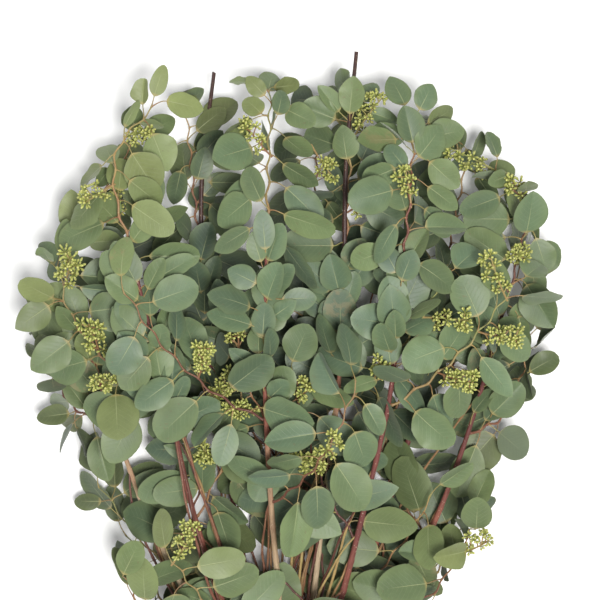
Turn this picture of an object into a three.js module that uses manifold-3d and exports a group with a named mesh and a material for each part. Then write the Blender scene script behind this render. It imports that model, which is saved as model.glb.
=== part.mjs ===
// A cut bunch of seeded eucalyptus, lying on its side on a flat surface.
//
// Nine woody stems run from their cut ends, through a rubber band, and fan out into a broad head.
// Each stem carries leafy twigs, and some twigs carry a spray of unopened flower buds.
// A leafy twig is one solid: the twig, the leaf stalks and the leaf blades that grow on it.
// Units are millimetres. +Y runs from the cut ends to the tips, and +Z is up.
// The origin is at the middle of the bunch's footprint, on the surface that it lies on.

import * as THREE from "three";
import { mergeVertices } from "three/addons/utils/BufferGeometryUtils.js";
import Module from "manifold-3d";

const wasm = await Module();
wasm.setup();

// ---- Driving dimensions ----

const BUNCH_LENGTH = 760; // cut ends to the highest tips
const HEAD_WIDTH = 546; // across the fan of foliage
const HEAD_HEIGHT = 184; // top of the foliage above the surface

const STEM_DIAMETER = 8; // at the cut end
const STEM_TIP_DIAMETER = 3.6; // where the leading twig takes over
const STEMS_AROUND = 8; // stems that stand round the middle one in the band

const TWIG_LENGTH = 190;
const TWIG_DIAMETER = 2.8;
const TWIG_TIP_DIAMETER = 1.5;
const LEAVES_PER_TWIG = 12; // down its sides; one more stands at its tip
const TWIG_SIDES = 3;
const ZIGZAG = 1.6; // sideways step of a twig at each leaf
const LEAF_SEAT = 2.4; // length of twig that a leaf stalk grows out of

const LEAF_LENGTH = 49; // blade alone
const LEAF_WIDTH = 38;
const LEAF_KEEL = 1; // depth of the blade at its midrib
const STALK_LENGTH = 16; // leaf stalk
const STALK_DIAMETER = 1;

const SPRAY_COUNT = 14; // sprays of flower buds
const SPRAY_LENGTH = 46;
const SPRAY_DIAMETER = 2; // the spray's own stalk
const SPRAY_APART = 54; // least distance between two sprays
const UMBEL_RADIUS = 7; // one cluster of buds
const UMBELS_PER_SPRAY = 6;

const BAND_FROM_CUT = 52; // rubber band above the cut ends
const BAND_WIDTH = 7;
const BAND_THICKNESS = 1.6;

const GAP = 0.35; // between a piece and the piece that it grows on or holds
const ROOM = 0.6; // least distance between pieces that only lie near each other

// ---- Where everything goes ----

// The head's outline, as [share of the bunch's length, share of the head's half width, share of its
// height, its middle as a share of the half width]: narrow at the band, broad for most of its length,
// and domed at the tips, with a fuller shoulder on the right.
const HEAD_OUTLINE = [
  [0.06, 0.09, 0.24, 0],
  [0.2, 0.3, 0.42, 0],
  [0.3, 0.58, 0.7, 0],
  [0.36, 0.64, 0.86, 0],
  [0.42, 0.77, 0.96, -0.04],
  [0.52, 0.84, 1, -0.02],
  [0.6, 0.95, 1, 0],
  [0.67, 0.99, 1, 0],
  [0.82, 0.87, 0.96, 0.07],
  [0.9, 0.7, 0.86, 0.05],
  [0.96, 0.53, 0.74, 0.02],
  [1, 0.36, 0.62, 0],
];

// Each stem's tip as shares of the head: [half width, height, bunch length]. The first is the middle
// stem, and the others go round the band from the right-hand side, so that no two cross.
const STEM_REACH = [
  [0.2, 0.52, 0.74],
  [0.78, 0.5, 0.68],
  [0.4, 0.8, 0.74],
  [-0.08, 0.86, 0.76],
  [-0.54, 0.78, 0.73],
  [-0.78, 0.46, 0.68],
  [-0.34, 0.24, 0.75],
  [0.08, 0.18, 0.76],
  [0.58, 0.26, 0.73],
];
const TWIG_STARTS = [0.28, 0.5, 0.74]; // of a stem's length; a last twig leads on from its tip
const TWIG_ANGLES = [52, 52, 48]; // degrees between a twig and its stem
const TWIG_SIZES = [1.1, 1.05, 0.95, 0.88];
const TWIG_LIFT = 50; // most degrees that a twig turns up or down from its own side of the stem

// ---- Small tools ----

const UP = new THREE.Vector3(0, 0, 1);
const radians = THREE.MathUtils.degToRad;
const lerp = THREE.MathUtils.lerp;
const at = (x, y, z) => new THREE.Vector3(x, y, z);
const sum = (...parts) =>
  parts.reduce((total, [vector, share]) => total.addScaledVector(vector, share), at(0, 0, 0));

// A repeatable source of numbers between low and high.
function draws(seed) {
  let state = Math.imul(seed, 2654435761) | 0;
  return (low, high) => {
    state = (state + 0x6d2b79f5) | 0;
    let t = Math.imul(state ^ (state >>> 15), 1 | state);
    t = (t + Math.imul(t ^ (t >>> 7), 61 | t)) ^ t;
    return low + (((t ^ (t >>> 14)) >>> 0) / 2 ** 32) * (high - low);
  };
}

// A closed shape through rings of corners, each ring anticlockwise about the way the loft runs.
// The last ring may be a single point. A shape is a list of corners and a list of triangular faces.
function loft(rings) {
  const corners = rings.flat();
  const sides = rings[0].length;
  const faces = [];
  for (let i = 1; i < sides - 1; i++) faces.push([0, i + 1, i]);
  rings.slice(1).forEach((ring, row) => {
    const low = row * sides;
    const high = low + sides;
    for (let i = 0; i < sides; i++) {
      const next = (i + 1) % sides;
      if (ring.length === 1) {
        faces.push([low + i, low + next, high]);
      } else {
        faces.push([low + i, low + next, high + next], [low + i, high + next, high + i]);
      }
    }
  });
  const end = rings.at(-1);
  const first = corners.length - end.length;
  for (let i = 1; i < end.length - 1; i++) faces.push([first, first + i, first + i + 1]);
  return { corners, faces };
}

// A face's corners, started from the one that makes the shortest edges to a ring.
function linedUp(shape, face, ring) {
  const turned = (first) => face.map((_, i) => face[(first + i) % face.length]);
  const stretch = (option) =>
    option.reduce((total, corner, i) => total + shape.corners[corner].distanceTo(ring[i]), 0);
  const options = face.map((_, first) => turned(first));
  return options.reduce((best, next) => (stretch(next) < stretch(best) ? next : best));
}

// Grows a loft out of one of a shape's faces, in place of that face.
function graft(shape, face, rings) {
  const seat = linedUp(shape, face, rings[0]);
  const grown = loft([seat.map((corner) => shape.corners[corner]), ...rings]);
  const offset = shape.corners.length - seat.length;
  const renumber = (corner) => (corner < seat.length ? seat[corner] : corner + offset);
  const [first, ...others] = grown.faces.slice(1).map((corners) => corners.map(renumber));
  shape.faces[shape.faces.indexOf(face)] = first;
  shape.faces.push(...others);
  shape.corners.push(...grown.corners.slice(seat.length));
}

// A tapering tube with a ring of corners at each point of a line.
function tube(points, startDiameter, endDiameter, sides) {
  const last = points.length - 1;
  const ends = points[last].clone().sub(points[0]);
  const guide = Math.abs(ends.z) > 0.9 * ends.length() ? at(1, 0, 0) : UP.clone();
  const rings = points.map((point, k) => {
    const along = points[Math.min(k + 1, last)].clone().sub(points[Math.max(k - 1, 0)]).normalize();
    const side = along.clone().cross(guide).normalize();
    guide.copy(side).cross(along);
    const radius = lerp(startDiameter, endDiameter, k / last) / 2;
    return Array.from({ length: sides }, (_, i) => {
      const turn = (i / sides) * 2 * Math.PI;
      return sum([point, 1], [guide, radius * Math.cos(turn)], [side, radius * Math.sin(turn)]);
    });
  });
  return loft(rings);
}

function geometryOf({ corners, faces }) {
  return new THREE.BufferGeometry().setFromPoints(corners).setIndex(faces.flat());
}

// A solid that can be measured against others and joined to them.
function solidOf(geometry) {
  const bare = geometry.clone();
  bare.deleteAttribute("normal");
  bare.deleteAttribute("uv");
  const merged = mergeVertices(bare, 1e-4);
  return new wasm.Manifold(
    new wasm.Mesh({
      numProp: 3,
      vertProperties: merged.attributes.position.array,
      triVerts: new Uint32Array(merged.index.array),
    }),
  );
}

const solidFrom = (shape) => solidOf(geometryOf(shape));

function shapeOf(solid) {
  const { numVert, numProp, vertProperties, triVerts } = solid.getMesh();
  const corners = Array.from({ length: numVert }, (_, i) =>
    at(...vertProperties.subarray(i * numProp, i * numProp + 3)),
  );
  const faces = Array.from({ length: triVerts.length / 3 }, (_, i) => [
    ...triVerts.subarray(i * 3, i * 3 + 3),
  ]);
  return { corners, faces };
}

// ---- The room that the foliage may take ----

// The head's middle, half width and top at y. Its underside is the surface that it lies on.
function headAt(y) {
  const share = THREE.MathUtils.clamp(y / BUNCH_LENGTH, HEAD_OUTLINE[0][0], HEAD_OUTLINE.at(-1)[0]);
  const after = Math.max(1, HEAD_OUTLINE.findIndex(([station]) => station >= share));
  const [low, high] = [HEAD_OUTLINE[after - 1], HEAD_OUTLINE[after]];
  const part = (share - low[0]) / (high[0] - low[0]);
  return {
    halfWidth: (lerp(low[1], high[1], part) * HEAD_WIDTH) / 2,
    height: lerp(low[2], high[2], part) * HEAD_HEIGHT,
    middle: (lerp(low[3], high[3], part) * HEAD_WIDTH) / 2,
  };
}

function isInRoom(point) {
  const { halfWidth, height, middle } = headAt(point.y);
  return (
    point.y < BUNCH_LENGTH &&
    Math.abs(point.x - middle) < halfWidth &&
    point.z > 0 &&
    point.z < height
  );
}

// Everything that is in place already, so that nothing new grows through it.
const placed = [];

function place(solid, owner) {
  const { min, max } = solid.boundingBox();
  const box = new THREE.Box3(at(...min), at(...max)).expandByScalar(ROOM);
  placed.push({ solid, box, owner });
  return solid;
}

function isClear(solid, ignoredOwner = "") {
  const { min, max } = solid.boundingBox();
  const box = new THREE.Box3(at(...min), at(...max));
  return placed.every(
    (other) =>
      other.owner === ignoredOwner ||
      !box.intersectsBox(other.box) ||
      solid.minGap(other.solid, ROOM) >= ROOM,
  );
}

// ---- Stems ----

const RING_RADIUS = (STEM_DIAMETER + ROOM) / (2 * Math.sin(Math.PI / STEMS_AROUND));
const BUNDLE_RADIUS = RING_RADIUS + STEM_DIAMETER / 2 + GAP;
const BUNDLE_HEIGHT = BUNDLE_RADIUS + BAND_THICKNESS + ROOM; // the bundle's middle line
const STEM_WANDER = 9;

// How far a stem has spread from the band, as a share, at a share of its length above the band.
const spreadAt = (share) => share * (1.45 - 0.45 * share);

// A stem's course from just above the band to its tip.
function stemCurve(index) {
  const [across, up, length] = STEM_REACH[index];
  const turn = ((index - 1) / STEMS_AROUND) * 2 * Math.PI;
  const ring = index === 0 ? 0 : RING_RADIUS;
  const start = at(
    ring * Math.cos(turn),
    BAND_FROM_CUT + BAND_WIDTH,
    BUNDLE_HEIGHT + ring * Math.sin(turn),
  );
  const tip = at((across * HEAD_WIDTH) / 2, length * BUNCH_LENGTH, up * HEAD_HEIGHT);
  const random = draws(100 + index);
  const points = [start];
  for (const share of [0.28, 0.52, 0.76, 1]) {
    const wander = share < 1 ? STEM_WANDER * share : 0;
    const spread = spreadAt(share);
    points.push(
      at(
        lerp(start.x, tip.x, spread) + random(-wander, wander),
        lerp(start.y, tip.y, share),
        lerp(start.z, tip.z, spread) + random(-wander, wander),
      ),
    );
  }
  return new THREE.CatmullRomCurve3(points, false, "centripetal");
}

const stems = STEM_REACH.map((_, index) => {
  const curve = stemCurve(index);
  const cut = curve.points[0].clone().setY(draws(150 + index)(0, 16));
  const points = [cut, ...curve.getSpacedPoints(12)];
  const shape = tube(points, STEM_DIAMETER, STEM_TIP_DIAMETER, 6);
  return { index, curve, shape, solid: place(solidFrom(shape), `stem_${index}`) };
});

// ---- Rubber band ----

function bandSolid() {
  const sides = 20;
  const inner = BUNDLE_RADIUS / Math.cos(Math.PI / sides);
  const outer = inner + BAND_THICKNESS;
  const section = [
    new THREE.Vector2(inner, -BAND_WIDTH / 2),
    new THREE.Vector2(outer, -BAND_WIDTH / 2),
    new THREE.Vector2(outer, BAND_WIDTH / 2),
    new THREE.Vector2(inner, BAND_WIDTH / 2),
    new THREE.Vector2(inner, -BAND_WIDTH / 2),
  ];
  const ring = new THREE.LatheGeometry(section, sides);
  return solidOf(ring.translate(0, BAND_FROM_CUT, BUNDLE_HEIGHT));
}

const band = place(bandSolid(), "band");

// ---- Twigs ----

// A twig leaves its stem at an angle and bends back to run with it, inside the head.
function twigCurve(start, away, along, length) {
  const legs = 4;
  const points = [start];
  const heading = away.clone();
  for (let leg = 0; leg < legs; leg++) {
    const point = sum([points.at(-1), 1], [heading, length / legs]);
    const { halfWidth, height, middle } = headAt(point.y);
    point.x = THREE.MathUtils.clamp(point.x, middle - 0.93 * halfWidth, middle + 0.93 * halfWidth);
    point.z = THREE.MathUtils.clamp(point.z, 0.1 * height, 0.9 * height);
    points.push(point);
    heading.lerp(along, 0.2).normalize();
  }
  return new THREE.CatmullRomCurve3(points, false, "centripetal");
}

// A twig's line has two points at each of its leaves, and turns a little there, to one side and then
// to the other.
function twigPoints(curve) {
  const nodes = curve.getSpacedPoints(LEAVES_PER_TWIG);
  return nodes.flatMap((point, node) => {
    if (node === 0) return [point];
    const along = curve.getTangentAt(node / LEAVES_PER_TWIG);
    const side = along.clone().cross(UP).normalize();
    const moved = point.clone().addScaledVector(side, node % 2 ? ZIGZAG : -ZIGZAG);
    return [sum([moved, 1], [along, -LEAF_SEAT]), moved];
  });
}

function twigFor(stem, number, random) {
  const leads = number === TWIG_STARTS.length;
  const share = leads ? 1 : TWIG_STARTS[number] + random(-0.05, 0.05);
  const origin = stem.curve.getPointAt(share);
  const along = stem.curve.getTangentAt(share);
  const side = along.clone().cross(UP).normalize();
  const above = side.clone().cross(along);
  const outward = STEM_REACH[stem.index][0] < 0 ? -1 : 1;
  const hand = number % 2 ? -outward : outward;
  const stemRadius = lerp(STEM_DIAMETER, STEM_TIP_DIAMETER, share) / 2;
  for (let attempt = 0; attempt < 60; attempt++) {
    const lift = radians(random(-TWIG_LIFT, TWIG_LIFT));
    const angle = leads ? 0 : radians(TWIG_ANGLES[number] + random(-10, 10));
    const length = TWIG_LENGTH * TWIG_SIZES[number] * random(0.9, 1.1) * 0.98 ** attempt;
    const away = sum(
      [along, Math.cos(angle)],
      [side, hand * Math.sin(angle) * Math.cos(lift)],
      [above, Math.sin(angle) * Math.sin(lift)],
    );
    const off = leads
      ? 2 * GAP
      : (stemRadius + GAP + (TWIG_DIAMETER / 2) * Math.cos(angle)) / Math.sin(angle);
    const points = twigPoints(twigCurve(sum([origin, 1], [away, off]), away, along, length));
    const shape = tube(points, TWIG_DIAMETER, TWIG_TIP_DIAMETER, TWIG_SIDES);
    const solid = solidFrom(shape);
    if (isClear(solid, `stem_${stem.index}`) && solid.minGap(stem.solid, 1) >= 0.8 * GAP) {
      return { points, shape, cap: shape.faces.at(-1), solid };
    }
  }
  throw new Error(`no room for twig ${number} of stem ${stem.index}`);
}

const twigs = stems.flatMap((stem) =>
  TWIG_SIZES.map((_, number) => {
    const index = stem.index * TWIG_SIZES.length + number;
    const twig = twigFor(stem, number, draws(200 + index));
    place(twig.solid, `twig_${index}`);
    return { ...twig, index };
  }),
);

// Where a leaf sits on its twig, and the twig's own directions there.
function seatOf(twig, node) {
  const [low, high] = [twig.points[2 * node - 1], twig.points[2 * node]];
  const along = high.clone().sub(low).normalize();
  const side = along.clone().cross(UP).normalize();
  return { middle: low.clone().lerp(high, 0.5), along, side, above: side.clone().cross(along) };
}

// Squares of the head that already lie under something, seen from above. Leaves turn to the light.
const SHADE_SQUARE = 9;
const shaded = new Set();
const squareOf = ({ x, y }) => `${Math.round(x / SHADE_SQUARE)},${Math.round(y / SHADE_SQUARE)}`;

// ---- Sprays of buds ----

// A spray's stalk, with a cluster of buds at its tip and others on short stalks down its sides.
function spraySolid(root, away, turn, size) {
  const side = away.clone().cross(UP).normalize();
  const above = side.clone().cross(away);
  const tip = sum([root, 1], [away, SPRAY_LENGTH * size]);
  const parts = [solidFrom(tube([root, tip], SPRAY_DIAMETER, SPRAY_DIAMETER / 2, 4))];
  for (let k = 0; k < UMBELS_PER_SPRAY; k++) {
    const radius = UMBEL_RADIUS * size * (1 - 0.04 * k);
    const round = turn + k * radians(137.5);
    const out = k === 0 ? 0 : 1.5 * radius;
    const knot = root.clone().lerp(tip, 1 - k / UMBELS_PER_SPRAY);
    const centre = sum(
      [knot, 1],
      [side, out * Math.cos(round)],
      [above, out * Math.sin(round)],
      [away, 0.6 * out],
    );
    const ball = new THREE.OctahedronGeometry(1.1 * radius, 0);
    parts.push(solidOf(ball.translate(centre.x, centre.y, centre.z)));
    if (k > 0) parts.push(solidFrom(tube([knot, centre], SPRAY_DIAMETER / 2, SPRAY_DIAMETER / 2, 3)));
  }
  return wasm.Manifold.union(parts);
}

// Sprays stand up out of the outer half of the head, well apart from each other.
const sprays = [];
const sprayRandom = draws(400);
for (let attempt = 0; sprays.length < SPRAY_COUNT; attempt++) {
  if (attempt > 4000) throw new Error(`room for only ${sprays.length} sprays`);
  const twig = twigs[Math.floor(sprayRandom(0, twigs.length))];
  const { middle, along, side, above } = seatOf(twig, Math.floor(sprayRandom(4, LEAVES_PER_TWIG)));
  const turn = radians(90 + sprayRandom(-70, 70));
  const away = sum([along, 0.6], [side, Math.cos(turn)], [above, Math.sin(turn)]).normalize();
  const root = sum([middle, 1], [away, TWIG_DIAMETER / 2 + SPRAY_DIAMETER / 2 + GAP]);
  if (middle.y < 0.45 * BUNCH_LENGTH || middle.z < 0.4 * headAt(middle.y).height) continue;
  if (sprays.some((other) => other.root.distanceTo(root) < SPRAY_APART)) continue;
  const solid = spraySolid(root, away, turn, sprayRandom(0.85, 1.1));
  const { min, max } = solid.boundingBox();
  if (!isInRoom(at(...min)) || !isInRoom(at(...max))) continue;
  if (!isClear(solid, `twig_${twig.index}`) || solid.minGap(twig.solid, 1) < 0.8 * GAP) continue;
  place(solid, "spray");
  sprays.push({ root, solid });
  for (let x = min[0]; x < max[0]; x += SHADE_SQUARE / 2) {
    for (let y = min[1]; y < max[1]; y += SHADE_SQUARE / 2) shaded.add(squareOf({ x, y }));
  }
}

// ---- Leaves ----

// A leaf's rings after the one on its twig: the end of the stalk, then the blade, which is a flat
// hexagon with a keel under its midrib.
function leafRings(root, stalkWay, bladeWay, face, length, width, droop) {
  const base = sum([root, 1], [stalkWay, STALK_LENGTH]);
  const across = face.clone().cross(bladeWay).normalize();
  const onBlade = (share) =>
    sum([base, 1], [bladeWay, length * share], [face, -droop * length * share ** 2]);
  const section = (centre, half, keel) => [
    sum([centre, 1], [across, half]),
    sum([centre, 1], [across, -half]),
    sum([centre, 1], [face, -keel]),
  ];
  return [
    section(base, STALK_DIAMETER / 2, STALK_DIAMETER),
    section(onBlade(0.32), width * 0.5, LEAF_KEEL),
    section(onBlade(0.74), width * 0.38, LEAF_KEEL),
    [onBlade(1)],
  ];
}

// The face of a twig that a stalk grows out of: the one that looks most nearly along the stalk.
function seatFace(twig, node, stalkWay) {
  if (node > LEAVES_PER_TWIG) return twig.cap;
  const row = 1 + (2 * node - 1) * TWIG_SIDES * 2;
  const towards = (face) => {
    const [a, b, c] = face.map((corner) => twig.shape.corners[corner]);
    return b.clone().sub(a).cross(c.clone().sub(a)).normalize().dot(stalkWay);
  };
  const faces = twig.shape.faces.slice(row, row + TWIG_SIDES * 2);
  return faces.reduce((best, face) => (towards(face) > towards(best) ? face : best));
}

function squaresUnder(rings) {
  const blade = rings.slice(1, 3).flatMap(([left, right]) => {
    return [0.1, 0.35, 0.65, 0.9].map((share) => left.clone().lerp(right, share));
  });
  return new Set([...blade, rings[0][0], rings[3][0]].map(squareOf));
}

function leafFor(twig, node, random) {
  const ends = node > LEAVES_PER_TWIG;
  const { middle, along, side, above } = seatOf(twig, Math.min(node, LEAVES_PER_TWIG));
  const young = lerp(1.12, 0.84, middle.y / BUNCH_LENGTH) * lerp(1.06, 0.84, node / LEAVES_PER_TWIG);
  const hand = node % 2 ? 1 : -1;
  let best = null;
  for (let attempt = 0; attempt < 90 && (attempt < 30 || !best); attempt++) {
    const loose = 1 + attempt / 40;
    const turn = radians(ends ? random(-40, 40) : hand * (75 + random(-35, 35) * loose));
    const lift = radians(random(-30, 40) * loose);
    const stalkWay = sum(
      [along, Math.cos(turn) * Math.cos(lift)],
      [side, Math.sin(turn) * Math.cos(lift)],
      [above, Math.sin(lift)],
    );
    const bladeWay = sum(
      [stalkWay, 1],
      [UP, random(-0.5, 0.15) - 0.6 * stalkWay.z],
      [side, random(-0.4, 0.4)],
      [along, random(-0.5, 0.3)],
    ).normalize();
    if (bladeWay.dot(stalkWay) < 0.6) continue;
    const seat = seatFace(twig, node, stalkWay);
    const root = sum(...seat.map((corner) => [twig.shape.corners[corner], 1 / 3]));
    const level = UP.clone().addScaledVector(bladeWay, -bladeWay.z).normalize();
    const face = level.applyAxisAngle(bladeWay, radians(random(-30, 30) * loose));
    const size = young * random(0.86, 1.2) * (attempt > 45 ? 0.8 : 1);
    const width = LEAF_WIDTH * size * random(0.86, 1.06);
    const droop = random(-0.04, 0.14);
    const rings = leafRings(root, stalkWay, bladeWay, face, LEAF_LENGTH * size, width, droop);
    if (!rings.slice(1).flat().every(isInRoom)) continue;
    const squares = squaresUnder(rings);
    const light = [...squares].filter((square) => !shaded.has(square)).length;
    if (best && light <= best.light) continue;
    if (!isClear(solidFrom(loft(rings)))) continue;
    const corners = linedUp(twig.shape, seat, rings[0]).map((i) => twig.shape.corners[i]);
    const solid = solidFrom(loft([corners, ...rings]));
    if (isClear(solid, `twig_${twig.index}`)) best = { seat, rings, solid, light, squares };
  }
  return best;
}

// Leaves are placed from the tips down. A leaf that finds no room is left off.
for (let node = LEAVES_PER_TWIG + 1; node > 0; node--) {
  for (const twig of twigs) {
    const leaf = leafFor(twig, node, draws(1000 + twig.index * 20 + node));
    if (!leaf) continue;
    leaf.squares.forEach((square) => shaded.add(square));
    place(leaf.solid, `leaf_${twig.index}_${node}`);
    graft(twig.shape, leaf.seat, leaf.rings);
  }
}

// ---- The bunch ----

const LOOKS = {
  stem: new THREE.MeshStandardMaterial({ color: 0x7a5238, roughness: 0.8, metalness: 0 }),
  leaf: new THREE.MeshStandardMaterial({ color: 0x6f8a62, roughness: 0.6, metalness: 0 }),
  bud: new THREE.MeshStandardMaterial({ color: 0xb3b765, roughness: 0.6, metalness: 0 }),
  band: new THREE.MeshStandardMaterial({ color: 0xc79a5b, roughness: 0.7, metalness: 0 }),
};

const bunch = new THREE.Group();

function add(name, shape, look) {
  const geometry = geometryOf(shape);
  geometry.computeVertexNormals();
  const mesh = new THREE.Mesh(geometry, look);
  mesh.name = name;
  bunch.add(mesh);
}

const numbered = (name, index) => `${name}_${String(index + 1).padStart(2, "0")}`;

stems.forEach((stem) => add(numbered("stem", stem.index), stem.shape, LOOKS.stem));
twigs.forEach((twig) => add(numbered("leafy_twig", twig.index), twig.shape, LOOKS.leaf));
sprays.forEach(({ solid }, index) => add(numbered("bud_spray", index), shapeOf(solid), LOOKS.bud));
add("rubber_band", shapeOf(band), LOOKS.band);

const box = new THREE.Box3().setFromObject(bunch);
const middle = box.getCenter(new THREE.Vector3());
bunch.position.set(-middle.x, -middle.y, -box.min.z);

export default bunch;
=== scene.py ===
"""Looks of the bunch of seeded eucalyptus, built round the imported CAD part.

The CAD nodes say where each stem, twig, leaf and cluster of buds is. Each one is read back from its node's
mesh and built again in detail: leaves with midribs and wavy edges, knuckled twigs, single flower buds.
"""

import math

import bpy
import numpy as np
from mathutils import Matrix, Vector
from mathutils.bvhtree import BVHTree


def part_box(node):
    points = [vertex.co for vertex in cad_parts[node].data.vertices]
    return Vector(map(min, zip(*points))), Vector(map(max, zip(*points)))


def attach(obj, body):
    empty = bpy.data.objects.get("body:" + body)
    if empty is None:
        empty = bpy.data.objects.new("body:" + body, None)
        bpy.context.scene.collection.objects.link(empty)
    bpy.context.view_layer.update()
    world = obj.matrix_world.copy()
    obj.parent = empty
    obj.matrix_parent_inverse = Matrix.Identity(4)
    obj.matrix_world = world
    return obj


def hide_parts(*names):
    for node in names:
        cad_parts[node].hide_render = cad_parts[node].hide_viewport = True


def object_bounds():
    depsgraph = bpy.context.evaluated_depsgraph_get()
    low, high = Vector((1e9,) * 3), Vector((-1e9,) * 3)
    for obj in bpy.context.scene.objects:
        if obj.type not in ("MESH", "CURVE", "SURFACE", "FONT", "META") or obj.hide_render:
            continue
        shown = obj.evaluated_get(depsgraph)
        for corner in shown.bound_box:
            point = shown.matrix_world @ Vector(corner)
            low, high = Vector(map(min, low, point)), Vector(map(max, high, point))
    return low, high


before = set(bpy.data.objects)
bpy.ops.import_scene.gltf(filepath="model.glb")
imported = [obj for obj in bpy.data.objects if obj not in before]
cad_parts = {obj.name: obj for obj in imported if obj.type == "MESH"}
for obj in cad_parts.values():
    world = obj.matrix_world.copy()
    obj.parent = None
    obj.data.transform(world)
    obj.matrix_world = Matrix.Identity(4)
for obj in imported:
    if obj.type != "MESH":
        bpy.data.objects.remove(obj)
cad_low, cad_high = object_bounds()

MM = 0.001
UP = np.array([0.0, 0.0, 1.0])

# Leaves
LEAF_THICKNESS = 0.34 * MM
RIB_DEPTH = 0.45 * MM
LEAF_FULLNESS = 1.13  # how much wider a leaf is than the six-sided one in the CAD part
ROWS_ALONG_LEAF = 13
COLUMNS_ACROSS_LEAF = [-1, -0.93, -0.7, -0.4, -0.14, 0, 0.14, 0.4, 0.7, 0.93, 1]
SHARES_IN_CAD = np.array([0.0, 0.32, 0.74, 1.0])  # where the CAD leaf has its corners, from base to tip
LEAF_GAP = 1.2 * MM  # least height over the surface
LEAF_DROOP = 0.12  # how far an added leaf's tip hangs, as a share of its length

# Twigs and stalks
TWIG_SIDES = 9
STALK_SIDES = 6
STEM_SIDES = 20
STALK_RADII = (0.75 * MM, 0.5 * MM)
KNUCKLE = 0.42  # how much thicker a twig is at a node
SHORT_EDGE = 4.5 * MM  # CAD edges shorter than this join corners of one twig joint

SHOOTS_PER_STEM = 8
SHOOT_TRIES = 40
STUBS = {"stem_07": 14 * MM, "stem_01": 12 * MM}  # stems with a dead tip, and how far it leans aside
STUB_REACH = 20 * MM  # how far it stands out of the leaves

# Buds
BUDS_PER_UMBEL = (9, 12)
BUD_PROFILE = [  # share of the bud's length, radius in mm
    (0.0, 0.3), (0.3, 0.3), (0.45, 0.55), (0.6, 1.0), (0.74, 1.2), (0.8, 1.22), (0.9, 0.8), (0.97, 0.3),
]

# Rubber band
BAND_TURNS = 4
BAND_STRAND = (0.85 * MM, 0.75 * MM)

FLOOR_REACH = 40.0
FLOOR_LEVEL = -0.6 * MM

# Camera: straight down on the bunch, 600 mm across the picture
VIEW_CENTRE = (0.010, 0.152)
VIEW_WIDTH = 0.600
VIEW_HEIGHT = 0.100  # the height over the surface that is 600 mm wide in the picture
LENS = 80.0
SENSOR = 36.0


def unit(vector):
    """The vector, or each row of vectors, at length 1."""
    vector = np.asarray(vector, float)
    return vector / np.maximum(np.linalg.norm(vector, axis=-1, keepdims=True), 1e-12)


def smooth(low, high, value):
    """0 below low, 1 above high, and a smooth rise between."""
    share = np.clip((np.asarray(value, float) - low) / (high - low), 0, 1)
    return share * share * (3 - 2 * share)


def turned(vector, axis, angle):
    """The vector turned about a unit axis by an angle in radians."""
    return (
        vector * math.cos(angle)
        + np.cross(axis, vector) * math.sin(angle)
        + axis * np.dot(axis, vector) * (1 - math.cos(angle))
    )


# ---------------------------------------------------------------- meshes


class Shape:
    """Collects corners, faces and each corner's values, and makes one piece of them."""

    def __init__(self, *value_names):
        self.names = value_names
        self.corners, self.faces, self.materials = [], [], []
        self.values = {name: [] for name in value_names}
        self.count = 0

    def add(self, corners, faces, material=0, **values):
        """Adds corners (N x 3), faces (lists of corner numbers), and each value as N x 3 or one row."""
        corners = np.asarray(corners, float)
        self.corners.append(corners)
        self.faces.extend([[c + self.count for c in face] for face in faces])
        self.materials.extend([material] * len(faces))
        for name in self.names:
            self.values[name].append(np.broadcast_to(np.asarray(values[name], float), corners.shape))
        self.count += len(corners)

    def piece(self, name, materials, slot, *nodes, sharp=50):
        """Makes the piece, which rides on the root and stands for CAD nodes; slot is not used."""
        mesh = bpy.data.meshes.new(name)
        mesh.from_pydata(np.concatenate(self.corners).tolist(), [], self.faces)
        for value_name in self.names:
            held = mesh.attributes.new(value_name, "FLOAT_VECTOR", "POINT")
            numbers = np.concatenate(self.values[value_name]).astype(np.float32)
            held.data.foreach_set("vector", numbers.ravel())
        for material in materials:
            mesh.materials.append(material)
        mesh.polygons.foreach_set("material_index", self.materials)
        mesh.shade_smooth()
        mesh.set_sharp_from_angle(angle=math.radians(sharp))
        mesh.update()
        made = bpy.data.objects.new(name, mesh)
        bpy.context.scene.collection.objects.link(made)
        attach(made, "root")
        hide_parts(*nodes)
        return made


def grid_faces(rows, columns, wrap=False):
    """Quads of a grid of corners numbered row by row. With wrap, each row is a closed ring."""
    across = columns if wrap else columns - 1
    return [
        [
            i * columns + j,
            i * columns + (j + 1) % columns,
            (i + 1) * columns + (j + 1) % columns,
            (i + 1) * columns + j,
        ]
        for i in range(rows - 1)
        for j in range(across)
    ]


def tube(points, radii, sides):
    """A tube with flat ends: its corners, faces, and each corner's distance along, angle and radius."""
    points = np.asarray(points, float)
    radii = np.asarray(radii, float)
    ways = unit(np.gradient(points, axis=0))
    guide = unit(np.cross(ways[0], [0.31, 0.17, 0.93]))
    angles = np.arange(sides) * 2 * math.pi / sides
    along = np.concatenate([[0], np.cumsum(np.linalg.norm(np.diff(points, axis=0), axis=1))])
    corners, places = [], []
    for point, radius, way, distance in zip(points, radii, ways, along):
        guide = unit(guide - way * np.dot(guide, way))
        side = np.cross(way, guide)
        corners.append(point + radius * (np.outer(np.cos(angles), guide) + np.outer(np.sin(angles), side)))
        places.append(np.column_stack([np.full(sides, distance), angles, np.full(sides, radius)]))
    count = len(points)
    faces = grid_faces(count, sides, wrap=True)
    faces.append(list(range(sides))[::-1])
    faces.append([(count - 1) * sides + j for j in range(sides)])
    return np.concatenate(corners), faces, np.concatenate(places)


def grain_of(places, seed):
    """Coordinates for streaks: fine round a tube and long along it."""
    distance, angle, radius = places.T
    return np.column_stack([np.cos(angle) * radius + seed, np.sin(angle) * radius + seed * 1.7, distance])


def tones(hues, light, sides):
    """Each corner's tone on a tube whose hue changes from ring to ring."""
    hues = np.repeat(hues, sides)
    return np.column_stack([hues, np.full(len(hues), light), np.zeros(len(hues))])


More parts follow.
